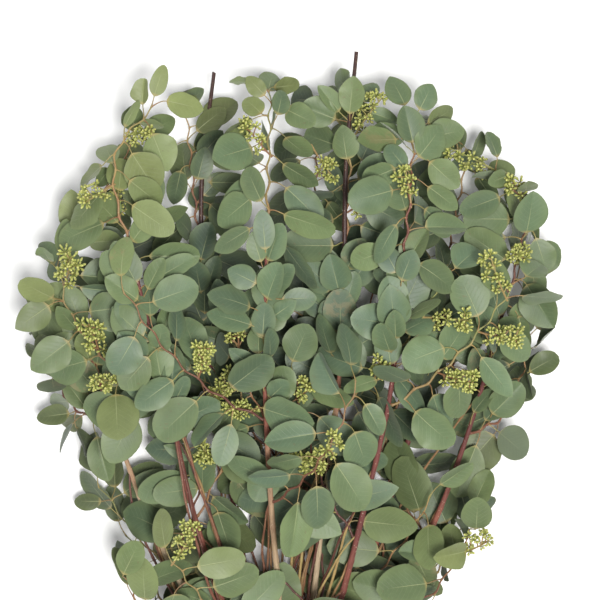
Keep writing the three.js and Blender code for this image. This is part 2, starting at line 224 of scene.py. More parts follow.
def add_tube(shape, points, radii, sides, seed, tone):
    """Adds a tube of streaked wood."""
    corners, faces, places = tube(points, radii, sides)
    shape.add(corners, faces, grain=grain_of(places, seed), tone=tone)


def bezier(start, one, two, end, count):
    """Points on a cubic curve."""
    t = np.linspace(0, 1, count)[:, None]
    return (1 - t) ** 3 * start + 3 * (1 - t) ** 2 * t * one + 3 * (1 - t) * t**2 * two + t**3 * end


def curve_through(points, shares):
    """Points on a smooth curve through the given ones: shares is where they are in each span."""
    points = np.asarray(points, float)
    held = np.vstack([2 * points[0] - points[1], points, 2 * points[-1] - points[-2]])
    found, spans = [], []
    for i in range(1, len(held) - 2):
        a, b, c, d = held[i - 1 : i + 3]
        for t in shares:
            bend, twist = 2 * a - 5 * b + 4 * c - d, 3 * b - a - 3 * c + d
            found.append(0.5 * (2 * b + (c - a) * t + bend * t**2 + twist * t**3))
            spans.append(i - 1 + t)
    found.append(points[-1])
    spans.append(len(points) - 1)
    return np.array(found), np.array(spans)


# ---------------------------------------------------------------- reading the CAD nodes


def net_of(name):
    """A CAD node's corners, each once, and for each one the corners that it shares an edge with."""
    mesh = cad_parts[name].data
    placed = np.array([v.co for v in mesh.vertices], float)
    cells = np.round(placed / (0.01 * MM)).astype(int)
    _, first, number = np.unique(cells, axis=0, return_index=True, return_inverse=True)
    number = number.ravel()
    near = [set() for _ in first]
    for polygon in mesh.polygons:
        ring = [int(number[v]) for v in polygon.vertices]
        for a, b in zip(ring, ring[1:] + ring[:1]):
            if a != b:
                near[a].add(b)
                near[b].add(a)
    return placed[first], near


def joints_of(points, near, short):
    """Groups the corners joined by short edges: each corner's group, and each group's corners."""
    group = [-1] * len(points)
    groups = []
    for start in range(len(points)):
        if group[start] >= 0:
            continue
        group[start] = len(groups)
        found = [start]
        for corner in found:
            for other in near[corner]:
                if group[other] < 0 and np.linalg.norm(points[corner] - points[other]) < short:
                    group[other] = group[start]
                    found.append(other)
        groups.append(found)
    return group, groups


def keel_first(points, ring):
    """A blade's ring of three corners, with the one on the underside, midway between the others, first."""

    def off(i):
        others = [points[c] for c in ring if c != ring[i]]
        return np.linalg.norm(points[ring[i]] - (others[0] + others[1]) / 2)

    keel = min(range(3), key=off)
    return [ring[keel]] + [c for i, c in enumerate(ring) if i != keel]


class Leaf:
    """A leaf's blade: centre points from base to tip, across directions, upper side and half-width."""

    def __init__(self, root, centres, across, up, half_width):
        self.root = root
        self.centres = np.asarray(centres, float)
        self.across = np.asarray(across, float)
        self.up = up
        self.half_width = half_width
        self.length = np.linalg.norm(np.diff(self.centres, axis=0), axis=1).sum()

    def at(self, shares):
        """Centre points at shares of the length, on one curve through the four."""
        shares = np.asarray(shares, float)[:, None]
        total = 0
        for i, here in enumerate(SHARES_IN_CAD):
            weight = np.ones_like(shares)
            for j, other in enumerate(SHARES_IN_CAD):
                if i != j:
                    weight = weight * (shares - other) / (here - other)
            total = total + weight * self.centres[i]
        return total

    def frames(self, shares):
        """Centre, across direction and upper side at shares of the length."""
        centres = self.at(shares)
        ways = unit(self.at(np.asarray(shares) + 0.01) - self.at(np.asarray(shares) - 0.01))
        turn = smooth(0.2, 0.85, shares)[:, None]
        across = unit((1 - turn) * self.across[0] + turn * self.across[1])
        across = unit(across - ways * np.sum(across * ways, axis=1, keepdims=True))
        return centres, across, np.cross(across, ways)


def twig_of(name):
    """A leafy twig's centreline from its root, and its leaves as (number of the twig joint, leaf)."""
    points, near = net_of(name)
    group, groups = joints_of(points, near, SHORT_EDGE)
    middle = [points[g].mean(axis=0) for g in groups]
    leaves, ends = [], set()
    for tip in range(len(points)):
        if len(groups[group[tip]]) != 1 or len(near[tip]) != 3:
            continue
        far = keel_first(points, sorted(near[tip]))
        blade = keel_first(points, sorted(set().union(*[near[c] for c in far]) - set(far) - {tip}))
        if (points[blade[1]] - points[blade[2]]) @ (points[far[1]] - points[far[2]]) < 0:
            blade[1], blade[2] = blade[2], blade[1]
        end = {group[c] for c in set().union(*[near[c] for c in blade]) - set(blade) - set(far)}.pop()
        beside = {group[c] for c in set().union(*[near[c] for c in groups[end]])}
        seat = beside - {end} - {group[c] for c in blade}
        ends.add(end)
        wide, narrow = (points[blade[1]] + points[blade[2]]) / 2, (points[far[1]] + points[far[2]]) / 2
        across = [unit(points[blade[1]] - points[blade[2]]), unit(points[far[1]] - points[far[2]])]
        up = unit(wide - points[blade[0]])
        way = unit(points[tip] - middle[end])
        if np.cross(across[0], way) @ up < 0:
            across = [-a for a in across]
        half = np.linalg.norm(points[blade[1]] - points[blade[2]]) / 2
        leaves.append([seat.pop(), Leaf(None, [middle[end], wide, narrow, points[tip]], across, up, half)])
    chain = [g for g in range(len(groups)) if len(groups[g]) >= 3 and g not in ends]
    inside = set(chain)
    links = {}
    for g in chain:
        beside = {group[c] for c in set().union(*[near[c] for c in groups[g]])}
        links[g] = beside & inside - {g}
    root = next(g for g in chain if len(groups[g]) == 3 and len(links[g]) == 1)
    order = [root]
    while len(order) < len(chain):
        order.append(next(g for g in links[order[-1]] if g not in order))
    line = np.array([middle[g] for g in order])
    for found in leaves:
        found[0] = order.index(found[0])
        found[1].root = line[found[0]]
    return line, leaves


def stem_of(name):
    """A stem's centreline from its cut end, and the radius at each point."""
    points, near = net_of(name)
    _, groups = joints_of(points, near, 6 * MM)
    rings = sorted(groups, key=lambda g: points[g][:, 1].mean())
    line = np.array([points[g].mean(axis=0) for g in rings])
    radii = np.array([np.linalg.norm(points[g] - points[g].mean(axis=0), axis=1).mean() for g in rings])
    return line, radii


def spray_of(name):
    """A bud spray's root and its clusters' middles and radii, found from their upright pairs of corners."""
    points, _ = net_of(name)
    clusters = []
    for a in points:
        for b in points:
            tall = b[2] - a[2]
            if tall < 9 * MM or np.linalg.norm(b[:2] - a[:2]) > 0.02 * MM:
                continue
            centre, half = (a + b) / 2, tall / 2
            ways = np.array([(1, 0, 0), (-1, 0, 0), (0, 1, 0), (0, -1, 0)])
            sides = centre + half * ways
            met = sum(np.linalg.norm(points - side, axis=1).min() < 0.05 * MM for side in sides)
            if met >= 2:
                clusters.append((centre, half))
    middle = np.mean([c for c, _ in clusters], axis=0)
    away = np.array([min(np.linalg.norm(p - c) - h for c, h in clusters) for p in points])
    loose = points[away > 0.5 * MM]
    far = loose[np.argmax(np.linalg.norm(loose - middle, axis=1))]
    root = loose[np.linalg.norm(loose - far, axis=1) < 2.5 * MM].mean(axis=0)
    return root, clusters


# ---------------------------------------------------------------- materials


class Paint:
    """A node material, with short calls for its nodes."""

    def __init__(self, name):
        self.material = bpy.data.materials.new(name)
        self.material.use_nodes = True
        self.tree = self.material.node_tree
        self.shader = self.tree.nodes["Principled BSDF"]

    def link(self, value, socket):
        """Joins a socket, or writes a plain value."""
        if isinstance(value, bpy.types.NodeSocket):
            self.tree.links.new(value, socket)
        elif isinstance(value, tuple) and len(value) == 3 and socket.type == "RGBA":
            socket.default_value = (*value, 1.0)
        else:
            socket.default_value = value

    def node(self, kind, *inputs, output=0, **settings):
        """Adds a node, sets its inputs in order, and gives one output."""
        made = self.tree.nodes.new(kind)
        for name, value in settings.items():
            setattr(made, name, value)
        for number, value in enumerate(inputs):
            if value is not None:
                self.link(value, made.inputs[number])
        return made.outputs[output]

    def values(self, name):
        """The three numbers of a mesh attribute."""
        held = self.node("ShaderNodeAttribute", attribute_name=name, output=1)
        split = self.tree.nodes.new("ShaderNodeSeparateXYZ")
        self.link(held, split.inputs[0])
        return list(split.outputs)

    def vector(self, name):
        return self.node("ShaderNodeAttribute", attribute_name=name, output=1)

    def place(self):
        """The place on the object, in metres."""
        return self.node("ShaderNodeTexCoord", output=3)

    def sum(self, operation, *inputs):
        return self.node("ShaderNodeMath", *inputs, operation=operation)

    def scaled(self, value, factor, base):
        """The value times a factor, plus a base."""
        return self.sum("ADD", self.sum("MULTIPLY", value, factor), base)

    def rise(self, value, low, high):
        """0 at low and 1 at high, smoothly."""
        return self.node("ShaderNodeMapRange", value, low, high, 0.0, 1.0, interpolation_type="SMOOTHSTEP")

    def noise(self, vector, scale, detail=2.0, roughness=0.5):
        made = self.tree.nodes.new("ShaderNodeTexNoise")
        self.link(vector, made.inputs["Vector"])
        made.inputs["Scale"].default_value = scale
        made.inputs["Detail"].default_value = detail
        made.inputs["Roughness"].default_value = roughness
        return made.outputs["Fac"]

    def stretched(self, vector, scale):
        made = self.tree.nodes.new("ShaderNodeMapping")
        self.link(vector, made.inputs["Vector"])
        made.inputs["Scale"].default_value = scale
        return made.outputs[0]

    def mix(self, share, one, two, kind="MIX"):
        made = self.tree.nodes.new("ShaderNodeMix")
        made.data_type = "RGBA"
        made.blend_type = kind
        self.link(share, made.inputs[0])
        self.link(one, made.inputs[6])
        self.link(two, made.inputs[7])
        return made.outputs[2]

    def ramp(self, value, *stops):
        made = self.tree.nodes.new("ShaderNodeValToRGB")
        self.link(value, made.inputs[0])
        elements = made.color_ramp.elements
        while len(elements) < len(stops):
            elements.new(0.5)
        for element, (position, colour) in zip(elements, stops):
            element.position = position
            element.color = (*colour, 1.0)
        return made.outputs[0]

    def tint(self, colour, share, strength, towards):
        """The colour, moved towards another by a share of the strength."""
        return self.mix(self.sum("MULTIPLY", share, strength), colour, towards)

    def shaded(self, colour, shade):
        """The colour times a number."""
        grey = self.node("ShaderNodeCombineXYZ", shade, shade, shade)
        return self.mix(1.0, colour, grey, "MULTIPLY")

    def fading(self, value, low, high):
        """1 at low and 0 at high, smoothly."""
        return self.sum("SUBTRACT", 1.0, self.rise(value, low, high))

    def finish(self, colour, roughness, height, depth, strength=0.5, **constants):
        bump = self.tree.nodes.new("ShaderNodeBump")
        bump.inputs["Strength"].default_value = strength
        bump.inputs["Distance"].default_value = depth
        self.link(height, bump.inputs["Height"])
        self.link(colour, self.shader.inputs["Base Color"])
        self.link(roughness, self.shader.inputs["Roughness"])
        self.link(bump.outputs[0], self.shader.inputs["Normal"])
        for name, value in constants.items():
            self.shader.inputs[name.replace("_", " ")].default_value = value
        return self.material


def leaf_material():
    """Waxy grey-green leaf: mottled, pale midrib and faint side veins, darker edge, greyer underside."""
    paint = Paint("leaf")
    along, across, side = paint.values("blade")
    share, edge, _ = paint.values("share")
    hue, light, age = paint.values("tone")
    place = paint.place()
    green = paint.ramp(
        hue,
        (0.0, (0.066, 0.104, 0.066)),
        (0.35, (0.084, 0.128, 0.069)),
        (0.7, (0.114, 0.156, 0.062)),
        (1.0, (0.155, 0.184, 0.066)),
    )
    cloud = paint.noise(place, 55.0, 3.0)
    mottle = paint.noise(place, 420.0, 3.0, 0.6)
    shade = paint.sum("ADD", paint.sum("MULTIPLY", cloud, 0.42), paint.sum("MULTIPLY", mottle, 0.22))
    # light is each leaf's own random lightness times the painted shade of leaves deep in the bunch
    shade = paint.sum("MULTIPLY", paint.sum("ADD", shade, 0.68), light)
    colour = paint.shaded(green, shade)
    # the green is a little yellower towards the edge and the tip
    rim = paint.rise(paint.sum("MAXIMUM", edge, paint.sum("POWER", share, 6.0)), 0.35, 1.0)
    colour = paint.tint(colour, rim, 0.22, (0.185, 0.225, 0.085))
    # side veins leave the midrib forwards, every 5 mm
    out = paint.sum("ABSOLUTE", across)
    step = paint.sum("SUBTRACT", along, paint.sum("MULTIPLY", out, 0.85))
    wobble = paint.sum("MULTIPLY", paint.noise(place, 160.0, 1.0), 0.0022)
    beat = paint.sum("PINGPONG", paint.sum("ADD", step, wobble), 0.0027)
    vein = paint.fading(beat, 0.00008, 0.00042)
    vein = paint.sum("MULTIPLY", vein, paint.fading(edge, 0.55, 0.9))
    colour = paint.tint(colour, vein, 0.09, (0.30, 0.34, 0.20))
    # midrib, which fades past the middle
    rib = paint.fading(out, 0.0002, 0.0006)
    rib = paint.sum("MULTIPLY", rib, paint.fading(share, 0.25, 0.85))
    colour = paint.tint(colour, rib, 0.5, (0.31, 0.34, 0.17))
    # the base takes the stalk's warm colour
    base = paint.fading(along, 0.0003, 0.0042)
    colour = paint.tint(colour, base, 0.6, (0.36, 0.27, 0.10))
    # thin dark edge
    margin = paint.rise(edge, 0.955, 0.995)
    colour = paint.tint(colour, margin, 0.45, (0.075, 0.085, 0.045))
    # brown specks, and a scorched patch on a few old leaves
    specks = paint.rise(paint.noise(place, 300.0, 1.0), 0.70, 0.76)
    colour = paint.tint(colour, specks, 0.35, (0.12, 0.09, 0.045))
    patch = paint.rise(paint.noise(place, 70.0, 4.0, 0.65), 0.52, 0.62)
    patch = paint.sum("MULTIPLY", patch, paint.rise(age, 0.9, 0.96))
    colour = paint.tint(colour, patch, 0.4, (0.22, 0.17, 0.085))
    # the underside is paler and greyer
    under = paint.fading(side, -0.02, -0.001)
    colour = paint.tint(colour, under, 0.5, (0.235, 0.275, 0.20))
    roughness = paint.scaled(cloud, 0.16, 0.43)
    height = paint.sum("SUBTRACT", paint.sum("MULTIPLY", mottle, 0.25), paint.sum("MULTIPLY", vein, 0.35))
    height = paint.sum("SUBTRACT", height, paint.sum("MULTIPLY", rib, 0.8))
    gloss = {"Specular_IOR_Level": 0.4, "Sheen_Weight": 0.08, "Sheen_Roughness": 0.5}
    return paint.finish(colour, roughness, height, 0.0004, 0.55, **gloss)


def twig_material():
    """Young wood: yellow-green to orange-tan to dark red, streaked along, with pale pores."""
    paint = Paint("twig")
    hue, light, _ = paint.values("tone")
    grain = paint.vector("grain")
    streak = paint.noise(paint.stretched(grain, (1.0, 1.0, 0.12)), 1100.0, 3.0, 0.6)
    patch = paint.noise(paint.place(), 90.0, 2.0)
    hue = paint.sum("ADD", hue, paint.sum("MULTIPLY", paint.sum("SUBTRACT", patch, 0.5), 0.35))
    wood = paint.ramp(
        hue,
        (0.0, (0.20, 0.22, 0.07)),
        (0.28, (0.27, 0.19, 0.075)),
        (0.5, (0.21, 0.105, 0.050)),
        (0.75, (0.13, 0.046, 0.030)),
        (1.0, (0.07, 0.026, 0.02)),
    )
    shade = paint.sum("MULTIPLY", paint.scaled(streak, 0.7, 0.62), light)
    colour = paint.shaded(wood, shade)
    pores = paint.rise(paint.noise(paint.stretched(grain, (1.0, 1.0, 0.5)), 900.0, 1.0), 0.66, 0.72)
    colour = paint.tint(colour, pores, 0.45, (0.50, 0.38, 0.22))
    roughness = paint.scaled(streak, 0.25, 0.38)
    height = paint.sum("ADD", paint.sum("MULTIPLY", streak, 0.6), paint.sum("MULTIPLY", pores, 0.5))
    return paint.finish(colour, roughness, height, 0.0002, 0.6, Specular_IOR_Level=0.4)


def bark_material():
    """Bark of the stems: grey-tan or dark red, streaked and cracked along, rougher than a twig."""
    paint = Paint("bark")
    hue, light, _ = paint.values("tone")
    grain = paint.vector("grain")
    streak = paint.noise(paint.stretched(grain, (1.0, 1.0, 0.08)), 700.0, 4.0, 0.65)
    patch = paint.noise(paint.place(), 45.0, 3.0)
    hue = paint.sum("ADD", hue, paint.sum("MULTIPLY", paint.sum("SUBTRACT", patch, 0.5), 0.5))
    wood = paint.ramp(
        hue,
        (0.0, (0.44, 0.35, 0.23)),
        (0.35, (0.36, 0.25, 0.15)),
        (0.65, (0.24, 0.085, 0.055)),
        (1.0, (0.13, 0.04, 0.035)),
    )
    shade = paint.sum("MULTIPLY", paint.scaled(streak, 0.9, 0.5), light)
    colour = paint.shaded(wood, shade)
    cracks = paint.rise(paint.noise(paint.stretched(grain, (1.0, 1.0, 0.05)), 1500.0, 2.0), 0.62, 0.7)
    colour = paint.tint(colour, cracks, 0.5, (0.06, 0.035, 0.022))
    pores = paint.rise(paint.noise(paint.stretched(grain, (0.5, 0.5, 0.6)), 800.0, 1.0), 0.68, 0.73)
    colour = paint.tint(colour, pores, 0.5, (0.55, 0.45, 0.32))
    roughness = paint.scaled(streak, 0.3, 0.5)
    height = paint.sum("SUBTRACT", streak, paint.sum("MULTIPLY", cracks, 0.8))
    return paint.finish(colour, roughness, height, 0.0004, 0.7, Specular_IOR_Level=0.3)


def cut_material():
    """A cut end: pale wood with rings and a darker pith."""
    paint = Paint("cut_wood")
    distance, _, _ = paint.values("grain")
    ripple = paint.sum("SINE", paint.sum("MULTIPLY", distance, 9000.0))
    rings = paint.sum("ADD", paint.sum("MULTIPLY", ripple, 0.08), paint.noise(paint.place(), 900.0, 3.0))
    colour = paint.ramp(rings, (0.3, (0.42, 0.33, 0.18)), (0.7, (0.66, 0.58, 0.38)))
    pith = paint.fading(distance, 0.0004, 0.0009)
    colour = paint.tint(colour, pith, 0.7, (0.20, 0.13, 0.06))
    skin = paint.rise(distance, 0.0030, 0.0036)
    colour = paint.tint(colour, skin, 0.6, (0.20, 0.24, 0.09))
    return paint.finish(colour, 0.75, rings, 0.0002, 0.5, Specular_IOR_Level=0.2)


def bud_material():
    """Flower buds: green stalk, pale yellow-green cup, lighter pointed cap with a thin rim under it."""
    paint = Paint("bud")
    along, _, _ = paint.values("grain")
    hue, light, _ = paint.values("tone")
    body = paint.ramp(
        along,
        (0.0, (0.13, 0.14, 0.035)),
        (0.35, (0.19, 0.22, 0.05)),
        (0.6, (0.29, 0.33, 0.08)),
        (0.78, (0.33, 0.36, 0.10)),
        (0.81, (0.19, 0.17, 0.04)),
        (0.84, (0.39, 0.41, 0.12)),
        (1.0, (0.46, 0.45, 0.16)),
    )
    colour = paint.tint(body, hue, 0.45, (0.27, 0.24, 0.05))
    speckle = paint.noise(paint.place(), 900.0, 3.0, 0.6)
    shade = paint.sum("MULTIPLY", paint.scaled(speckle, 0.5, 0.75), light)
    colour = paint.shaded(colour, shade)
    return paint.finish(colour, 0.42, speckle, 0.0002, 0.4, Specular_IOR_Level=0.4)


def band_material():
    """Tan natural rubber, slightly mottled and dusty."""
    paint = Paint("rubber")
    cloud = paint.noise(paint.place(), 260.0, 3.0)
    fine = paint.noise(paint.place(), 2600.0, 2.0)
    colour = paint.ramp(cloud, (0.3, (0.44, 0.24, 0.09)), (0.7, (0.60, 0.37, 0.17)))
    roughness = paint.scaled(fine, 0.2, 0.45)
    return paint.finish(colour, roughness, fine, 0.0001, 0.4, Specular_IOR_Level=0.4)


def floor_material():
    """Plain white ground."""
    paint = Paint("ground")
    fine = paint.noise(paint.place(), 300.0, 2.0)
    return paint.finish((0.93, 0.93, 0.93), 0.8, fine, 0.0001, 0.05, Specular_IOR_Level=0.1)


# ---------------------------------------------------------------- leaves

draws = np.random.default_rng(20)


def outline_of(shares, wide_at, base_power, tip_power):
    """Half-width along a leaf, from 0 at the base over 1 at the widest place to 0 at the tip."""
    low = np.clip((wide_at - shares) / wide_at, 0, 1)
    high = np.clip((shares - wide_at) / (1 - wide_at), 0, 1)
    return np.where(shares < wide_at, (1 - low**2) ** (1 / base_power), (1 - high**2) ** (1 / tip_power))


def hue_at(point):
    """How yellow a leaf is: more on the outside of the head, and on the left and upper side; leaves high in
    the bunch are also made yellower and lighter than deep ones, as painted light and shade.
    """
    out = math.hypot(point[0] / 0.27, (point[1] - 0.13) / 0.27)
    warm = 0.30 + 0.34 * smooth(0.45, 1.05, out) + 0.12 * smooth(0.05, -0.25, point[0])
    warm += 0.2 * smooth(0.14, 0.3, point[1]) * smooth(0.16, -0.04, point[0])
    # painted light and shade: leaves high in the bunch are made yellower and lighter, deep ones darker and
    # bluer
    return float(warm + 0.1 * smooth(0.1, 0.16, point[2]))


def add_blade(shape, leaf):
    """Adds a leaf's blade: two skins that meet at the edge, wavy and slightly cupped."""
    rows = np.arange(ROWS_ALONG_LEAF) / (ROWS_ALONG_LEAF - 1)
    shares = (0.4 * rows + 0.6 * (1 - np.cos(math.pi * rows)) / 2)
    columns = np.array(COLUMNS_ACROSS_LEAF, float)
    wide_at = draws.uniform(0.36, 0.54)
    base_power, tip_power = draws.uniform(1.15, 1.9), draws.uniform(1.15, 2.1)
    narrow = 1 - 0.38 * draws.random() ** 1.2
    lopsided = draws.uniform(-0.07, 0.07)
    cup = draws.normal(0, 0.12)
    fold = draws.uniform(-0.04, 0.14) if draws.random() < 0.8 else draws.uniform(0.2, 0.55)
    wave = draws.uniform(0.3, 1.5) * MM
    beats = draws.uniform(1.2, 2.8)
    phase = draws.uniform(0, 2 * math.pi)
    lift = draws.normal(0, 0.03)
    # painted shade: leaves low in the bunch are made up to half darker, as if shaded by the leaves above
    painted_depth_shade = smooth(0.12, 0.03, leaf.centres[1][2])
    tone = np.array([
        np.clip(hue_at(leaf.centres[1]) + draws.normal(0, 0.15), 0, 1),
        np.clip(draws.normal(1.0, 0.1), 0.75, 1.25) * (1 - 0.5 * painted_depth_shade),
        draws.random(),
    ])
    seed = draws.random()

    centres, across, above = leaf.frames(shares)
    half = leaf.half_width * LEAF_FULLNESS * narrow * outline_of(shares, wide_at, base_power, tip_power)
    half = np.maximum(half, 0.55 * MM * (1 - shares) + 0.12 * MM)
    out = np.outer(half, columns)
    out = out * (1 + lopsided * np.sign(columns))
    relative = out / leaf.half_width
    rise = leaf.half_width * (cup * relative**2 + fold * np.abs(relative))
    swing = 2 * math.pi * beats * shares[:, None] + phase + 1.3 * np.sign(columns)
    rise += wave * relative**2 * np.sin(swing)
    rise += lift * leaf.length * (shares**2)[:, None]
    surface = centres[:, None] + across[:, None] * out[..., None] + above[:, None] * rise[..., None]
    bow = np.clip(np.sin(math.pi * shares), 0, 1)[:, None]
    thick = 0.5 * LEAF_THICKNESS * np.sqrt(1 - columns**2) * bow**0.4
    rib = RIB_DEPTH * (1 - shares)[:, None] * np.exp(-((columns / 0.08) ** 2)) * bow**0.3
    top = surface + above[:, None] * thick[..., None]
    under = surface - above[:, None] * (thick + rib)[..., None]

    many_rows, many_columns = len(shares), len(columns)
    inner = np.zeros((many_rows, many_columns), bool)
    inner[1:-1, 1:-1] = True
    number = np.arange(many_rows * many_columns).reshape(many_rows, many_columns)
    number_under = number.copy()
    number_under[inner] = many_rows * many_columns + np.arange(inner.sum())
    corners = np.concatenate([top.reshape(-1, 3), under[inner]])
    corners[:, 2] = np.maximum(corners[:, 2], LEAF_GAP)
    faces = []
    for i in range(many_rows - 1):
        for j in range(many_columns - 1):
            ring = [(i, j), (i, j + 1), (i + 1, j + 1), (i + 1, j)]
            faces.append([number[place] for place in ring])
            faces.append([number_under[place] for place in (ring[0], ring[3], ring[2], ring[1])])

    along = np.broadcast_to((shares * leaf.length)[:, None], out.shape)
    side = np.where(inner, 1.0, 0.0)
    edge = np.broadcast_to(np.abs(columns), out.shape)
    share = np.broadcast_to(shares[:, None], out.shape)
    blade = np.stack([along, out, side], -1)
    shared = np.stack([share, edge, np.full(out.shape, seed)], -1)
    blade_under = blade[inner] * [1, 1, -1]
    shape.add(
        corners,
        faces,
        blade=np.concatenate([blade.reshape(-1, 3), blade_under]),
        share=np.concatenate([shared.reshape(-1, 3), shared[inner]]),
        tone=tone,
    )
    return tone


def add_stalk(shape, leaf, twig_way, hue):
    """Adds a leaf's stalk, from the middle of the twig to the base of the blade."""
    base = leaf.centres[0]
    reach = np.linalg.norm(base - leaf.root)
    straight = unit(base - leaf.root)
    blade_way = unit(leaf.at([0.06])[0] - base)
    end = base + blade_way * 1.2 * MM - leaf.up * 0.25 * MM
    one = leaf.root + reach * 0.35 * unit(0.75 * straight + 0.45 * twig_way)
    two = end - reach * 0.35 * blade_way
    points = bezier(leaf.root, one, two, end, 9)
    points[:, 2] = np.maximum(points[:, 2], LEAF_GAP)
    shares = np.linspace(0, 1, len(points))
    radii = STALK_RADII[0] + (STALK_RADII[1] - STALK_RADII[0]) * smooth(0, 0.5, shares)
    radii = radii + 0.35 * MM * np.exp(-((shares / 0.1) ** 2))
    radii[-1] = 0.35 * MM
    tone = tones(hue * (1 - 0.45 * smooth(0.2, 1.0, shares)), draws.uniform(0.85, 1.25), STALK_SIDES)
    add_tube(shape, points, radii, STALK_SIDES, draws.random(), tone)


def outline_mesh(leaf):
    """A coarse mesh of a blade, as corners and faces, to test for blades that cross."""
    shares = np.array([0.02, 0.14, 0.36, 0.62, 0.84, 0.98])
    centres, across, _ = leaf.frames(shares)
    half = leaf.half_width * 1.05 * outline_of(shares, 0.48, 1.7, 1.9)[:, None]
    corners = np.concatenate([centres - across * half, centres, centres + across * half])
    count = len(shares)
    faces = []
    for i in range(count - 1):
        for j in (0, count):
            faces.append([i + j, i + j + count, i + j + count + 1, i + j + 1])
    return corners, faces


class Crowd:
    """The blades so far, to find room for more, and the squares of ground that they cover from above."""

    SQUARE = 7 * MM

    def __init__(self):
        self.trees, self.middles, self.reaches = [], [], []
        self.covered = set()

    def squares(self, corners):
        found = set()
        count = len(corners) // 3
        for i in range(count):
            for share in np.linspace(0, 1, 7):
                point = corners[i] * (1 - share) + corners[i + 2 * count] * share
                found.add((int(point[0] // self.SQUARE), int(point[1] // self.SQUARE)))
        return found

    def add(self, leaf):
        self.trees.append(None)
        self.middles.append(None)
        self.reaches.append(0.0)
        self.put(len(self.trees) - 1, leaf)

    def put(self, number, leaf):
        corners, faces = outline_mesh(leaf)
        middle = corners.mean(axis=0)
        self.trees[number] = BVHTree.FromPolygons(corners.tolist(), faces)
        self.middles[number] = middle
        self.reaches[number] = np.linalg.norm(corners - middle, axis=1).max()
        self.covered |= self.squares(corners)

    def forget(self, number):
        """Leaves one blade out until it is put back."""
        self.middles[number] = np.array([0.0, 0.0, -9.0])

    def distance(self, point):
        """How far a point is from the nearest blade."""
        away = np.linalg.norm(np.array(self.middles) - point, axis=1) - np.array(self.reaches)
        near = np.nonzero(away < 10 * MM)[0]
        found = [self.trees[i].find_nearest(Vector(point))[3] for i in near]
        return min(found, default=1.0)

    def is_clear(self, leaf):
        corners, faces = outline_mesh(leaf)
        middle = corners.mean(axis=0)
        reach = np.linalg.norm(corners - middle, axis=1).max()
        away = np.linalg.norm(np.array(self.middles) - middle, axis=1)
        near = np.nonzero(away < reach + np.array(self.reaches))[0]
        if not len(near):
            return True
        tree = BVHTree.FromPolygons(corners.tolist(), faces)
        return not any(tree.overlap(self.trees[i]) for i in near)

    def gain(self, leaf):
        """How many uncovered squares the leaf would cover."""
        return len(self.squares(outline_mesh(leaf)[0]) - self.covered)


def new_leaf(root, way, up, stalk, length, half_width):
    """A leaf that leaves the wood at root in direction way, with its blade's upper side towards up."""
    base = root + unit(way) * stalk
    blade_way = unit(unit(way) - up * np.dot(unit(way), up) * 0.8)
    up = unit(up - blade_way * np.dot(up, blade_way))
    centres = [base + blade_way * length * s - up * LEAF_DROOP * length * s * s for s in SHARES_IN_CAD]
    across = np.cross(blade_way, up)
    return Leaf(root, centres, [across, across], up, half_width)


class Outline:
    """How far the CAD leaves reach at each place along the bunch, so that added pieces keep its outline."""

    BAND = 20 * MM

    def __init__(self, corners):
        bands = np.floor(corners[:, 1] / self.BAND).astype(int)
        self.places, self.left, self.right, self.top = [], [], [], []
        for band in range(bands.min(), bands.max() + 1):
            here = corners[np.abs(bands - band) <= 1]
            self.places.append((band + 0.5) * self.BAND)
            self.left.append(here[:, 0].min())
            self.right.append(here[:, 0].max())
            self.top.append(here[:, 2].max())
        self.ends = (corners[:, 1].min(), corners[:, 1].max())

    def holds(self, corners, beyond=0.0):
        """Whether the corners stay inside, or go beyond by no more than a distance."""
        x, y, z = corners.T
        left, right, top = (np.interp(y, self.places, side) for side in (self.left, self.right, self.top))
        return bool(
            np.all(x > left - beyond)
            and np.all(x < right + beyond)
            and np.all(z < top + beyond)
            and np.all(z > 1 * MM)
            and np.all(z < cad_high[2])
            and np.all(y > self.ends[0])
            and np.all(y < self.ends[1] + beyond)
        )


def varied(leaf):
    """The leaf rolled and tilted at its base as far as its neighbours let it."""
    way = unit(leaf.centres[-1] - leaf.centres[0])
    roll, pitch = draws.normal(0, 0.4), draws.normal(0, 0.2)
    for share in (1.0, 0.6, 0.3):
        across = unit(leaf.across[0])

        def moved(vector):
            return turned(turned(vector, way, roll * share), across, pitch * share)

        centres = [leaf.centres[0] + moved(c - leaf.centres[0]) for c in leaf.centres]
        found = Leaf(leaf.root, centres, [moved(a) for a in leaf.across], moved(leaf.up), leaf.half_width)
        if outline.holds(outline_mesh(found)[0], 4 * MM) and crowd.is_clear(found):
            return found
    return leaf


TRIES_PER_LEAF = 14
SPARSE_BELOW = (-0.09, 0.05)  # added leaves thin out towards the lower end of the head
STRAY = 11 * MM  # how far a few added leaves stand out of the head
STEM_LEAF_TRIES = 12
BARE_BELOW = (-0.02, 0.12)  # and so do the leaves on the stems themselves

twigs = {}
for name in sorted(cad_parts):
    if name.startswith("leafy_twig"):
        line, leaves = twig_of(name)
        twigs[name] = {"line": line, "leaves": leaves}
stems = {name: stem_of(name) for name in sorted(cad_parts) if name.startswith("stem")}
sprays = {name: spray_of(name) for name in sorted(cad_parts) if name.startswith("bud_spray")}

crowd = Crowd()
cad_leaves = [found for twig in twigs.values() for found in twig["leaves"]]
outline = Outline(np.concatenate([outline_mesh(leaf)[0] for _, leaf in cad_leaves]))
for _, leaf in cad_leaves:
    crowd.add(leaf)
for number, found in enumerate(cad_leaves):
    crowd.forget(number)
    found[1] = varied(found[1])
    crowd.put(number, found[1])


